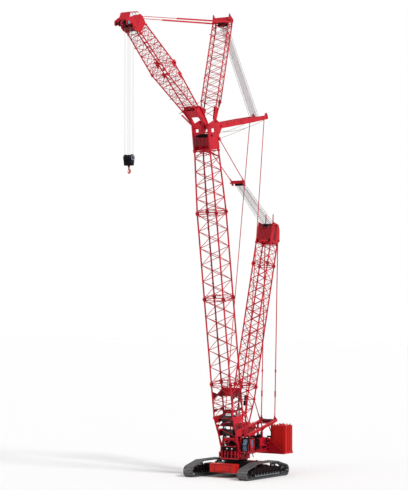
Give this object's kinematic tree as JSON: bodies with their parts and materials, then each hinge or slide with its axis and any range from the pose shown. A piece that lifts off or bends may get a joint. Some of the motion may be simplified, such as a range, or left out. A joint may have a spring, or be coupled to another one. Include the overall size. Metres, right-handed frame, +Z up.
{
  "type": "crawler crane with luffing jib, 1:10 scale model",
  "caption": "Lattice-boom crawler crane with luffing jib, strutted mast, twin counterweight stacks and hook block, as a 1:10 scale model.",
  "frame": {"origin": "on the ground under the swing centre", "axes": "+X the crane's left, -Y forward under the boom, +Z up"},
  "size_m": [1.036, 3.5591, 6.3199],
  "materials": {
    "crane_red": "satin",
    "weight_red": "satin",
    "dark_frame": "satin",
    "track_steel": "worn",
    "roller_steel": "worn",
    "rope_steel": "satin",
    "sheave_steel": "satin",
    "block_black": "satin",
    "hook_orange": "satin",
    "cab_glass": "clear"
  },
  "bodies": {
    "carbody": {"carbody_frame": "dark_frame", "front_carbody_weight": "weight_red", "rear_carbody_weight": "weight_red", "left_crawler_frame": "dark_frame", "right_crawler_frame": "dark_frame", "left_track": "track_steel", "right_track": "track_steel", "left_rollers": "roller_steel", "right_rollers": "roller_steel", "slewing_ring": "dark_frame"},
    "upperworks": {"rotating_bed": "crane_red", "cab_bracket": "crane_red", "machinery_house": "crane_red", "engine_block": "block_black", "operator_cab": "block_black", "cab_windows": "cab_glass", "gantry_frame": "crane_red", "gantry_sheaves": "sheave_steel", "counterweight_tray": "crane_red", "left_counterweight": "weight_red", "right_counterweight": "weight_red", "mast_butt": "crane_red", "mast_insert": "crane_red", "mast_top": "crane_red", "mast_head": "crane_red", "mast_sheaves": "sheave_steel", "mast_backstays": "crane_red", "mast_stops": "crane_red"},
    "door": {"cab_door": "crane_red", "cab_door_window": "cab_glass"},
    "boom": {"boom_butt": "crane_red", "boom_lower_insert": "crane_red", "boom_upper_insert": "crane_red", "boom_taper_insert": "crane_red", "boom_head": "crane_red", "boom_head_sheaves": "sheave_steel", "hoist_winches": "sheave_steel", "boom_stays": "crane_red", "equalizer": "crane_red", "rear_strut": "crane_red", "rear_strut_sheaves": "sheave_steel", "rear_strut_stays": "crane_red"},
    "jib_strut": {"front_strut": "crane_red"},
    "jib_stays": {"jib_stays": "crane_red"},
    "jib": {"jib_butt": "crane_red", "jib_top": "crane_red", "jib_head": "crane_red", "jib_guide_sheaves": "sheave_steel"},
    "tip_sheaves": {"hoist_sheaves": "sheave_steel"},
    "hoist_falls": {"hoist_lines": "rope_steel", "hoist_limit_weight": "hook_orange"},
    "hook": {"hook_block": "block_black", "load_hook": "hook_orange"}
  },
  "joints": [
    {"name": "swing", "type": "hinge", "parent": "carbody", "child": "upperworks", "pos_m": [0, 0, 0.235], "axis": [0, 0, 1], "continuous": true},
    {"name": "cab_door_hinge", "type": "hinge", "parent": "upperworks", "child": "door", "pos_m": [0.293, -0.0105, 0.444], "axis": [0, 0, 1], "range_deg": [0, 100]},
    {"name": "boom_luff", "type": "hinge", "parent": "upperworks", "child": "boom", "pos_m": [0, -0.125, 0.351], "axis": [1, 0, 0], "range_deg": [-5, 17]},
    {"name": "jib_luff", "type": "hinge", "parent": "boom", "child": "jib", "pos_m": [0, -0.85243, 4.75005], "axis": [1, 0, 0], "range_deg": [-30, 20]},
    {"name": "jib_strut_luff", "type": "hinge", "parent": "boom", "child": "jib_strut", "pos_m": [0, -0.68987, 4.82028], "axis": [1, 0, 0], "range_deg": [-32, 22]},
    {"name": "jib_stay_swing", "type": "hinge", "parent": "jib_strut", "child": "jib_stays", "pos_m": [0, -0.355, 6.2], "axis": [1, 0, 0], "range_deg": [-2.6, 3.8]},
    {"name": "tip_sheave_turn", "type": "hinge", "parent": "jib", "child": "tip_sheaves", "pos_m": [0, -2.45344, 5.88468], "axis": [1, 0, 0], "range_deg": [-17.5, 5.5]},
    {"name": "hoist_falls_plumb", "type": "hinge", "parent": "tip_sheaves", "child": "hoist_falls", "pos_m": [0, -2.45344, 5.88468], "axis": [1, 0, 0], "range_deg": [-20.5, 30.5]},
    {"name": "hoist", "type": "slide", "parent": "hoist_falls", "child": "hook", "axis": [0, 0, 1], "range_m": [-3.9, 1.1]}
  ],
  "couplings": [
    {"joint": "jib_strut_luff", "follows": "jib_luff", "ratio": 1.05},
    {"joint": "jib_stay_swing", "follows": "jib_luff", "ratio": -0.12},
    {"joint": "tip_sheave_turn", "follows": "boom_luff", "ratio": -1},
    {"joint": "hoist_falls_plumb", "follows": "jib_luff", "ratio": -1}
  ]
}
